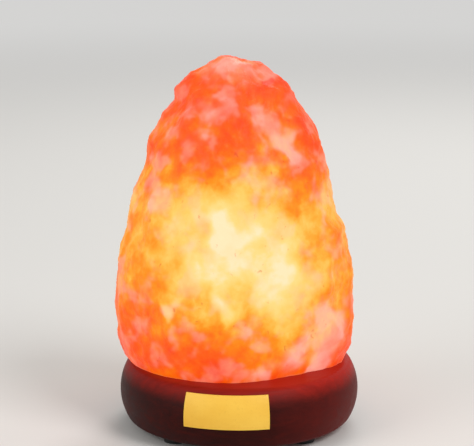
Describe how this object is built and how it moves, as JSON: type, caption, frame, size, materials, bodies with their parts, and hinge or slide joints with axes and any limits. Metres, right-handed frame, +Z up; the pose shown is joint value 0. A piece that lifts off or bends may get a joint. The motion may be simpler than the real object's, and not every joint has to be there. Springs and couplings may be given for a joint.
{
  "type": "salt crystal lamp",
  "caption": "Hollow salt crystal on a turned wooden base with rubber feet, lit from inside by a bulb in a clip-in holder.",
  "frame": {"origin": "on the surface the lamp stands on, on the wooden base's own axis", "axes": "+Z up, -Y towards the front label, +Y towards the cord outlet"},
  "size_m": [0.1262, 0.1252, 0.195],
  "materials": {
    "salt": "translucent rock salt, rough, lit from inside",
    "stained_wood": "dark red-brown stain, satin",
    "gold_label": "matt gold, bare",
    "black_rubber": "matt",
    "zinc_steel": "zinc plated",
    "nylon": "moulded",
    "plated_steel": "nickel plated",
    "spring_steel": "bright rolled",
    "phenolic": "moulded, slightly glossy",
    "brass": "pressed",
    "nickel_cap": "bright pressed",
    "cap_glass": "black fused glass",
    "solder": "soft solder",
    "bulb_glass": "clear",
    "lead_wire": "drawn",
    "tungsten": "glowing"
  },
  "bodies": {
    "light_unit": {"clip_plate": "plated_steel", "clip_feet": "spring_steel", "clip_rivets": "zinc_steel", "holder_cap": "phenolic", "holder_body": "phenolic", "holder_shell": "brass", "holder_centre_contact": "brass", "contact_rivets": "brass", "line_terminal": "brass", "neutral_terminal": "brass", "terminal_screws": "zinc_steel", "holder_screws": "zinc_steel"},
    "lamp_body": {"salt_crystal": "salt", "wooden_base": "stained_wood", "front_label": "gold_label", "crystal_screws": "zinc_steel", "crystal_plugs": "nylon", "rubber_foot_1": "black_rubber", "rubber_foot_2": "black_rubber", "rubber_foot_3": "black_rubber", "rubber_foot_4": "black_rubber", "foot_screws": "zinc_steel", "cord_bush": "black_rubber"},
    "clip_1": {"spring_clip_1": "spring_steel"},
    "clip_2": {"spring_clip_2": "spring_steel"},
    "clip_3": {"spring_clip_3": "spring_steel"},
    "bulb_lift": {"bulb_tip_contact": "solder"},
    "bulb": {"bulb_cap": "nickel_cap", "bulb_insulator": "cap_glass", "bulb_glass": "bulb_glass", "bulb_stem": "bulb_glass", "bulb_lead_wires": "lead_wire", "bulb_filament": "tungsten"}
  },
  "joints": [
    {"name": "lift_off", "type": "slide", "parent": "light_unit", "child": "lamp_body", "axis": [0, 0, 1], "range_m": [0, 0.11]},
    {"name": "clip_flex_1", "type": "hinge", "parent": "light_unit", "child": "clip_1", "pos_m": [0.01377, 0.00795, 0.0056], "axis": [0.5, -0.866, 0], "range_deg": [0, 7], "stiffness_Nm_per_rad": 1},
    {"name": "clip_flex_2", "type": "hinge", "parent": "light_unit", "child": "clip_2", "pos_m": [-0.01377, 0.00795, 0.0056], "axis": [0.5, 0.866, 0], "range_deg": [0, 7], "stiffness_Nm_per_rad": 1},
    {"name": "clip_flex_3", "type": "hinge", "parent": "light_unit", "child": "clip_3", "pos_m": [0, -0.0159, 0.0056], "axis": [-1, 0, 0], "range_deg": [0, 7], "stiffness_Nm_per_rad": 1},
    {"name": "bulb_rise", "type": "slide", "parent": "light_unit", "child": "bulb_lift", "axis": [0, 0, 1], "range_m": [0, 0.00917]},
    {"name": "bulb_turn", "type": "hinge", "parent": "bulb_lift", "child": "bulb", "pos_m": [0, 0, 0.026], "axis": [0, 0, 1], "range_deg": [0, 1170]}
  ],
  "couplings": [
    {"joint": "bulb_turn", "follows": "bulb_rise", "rad_per_m": 2226.5}
  ]
}
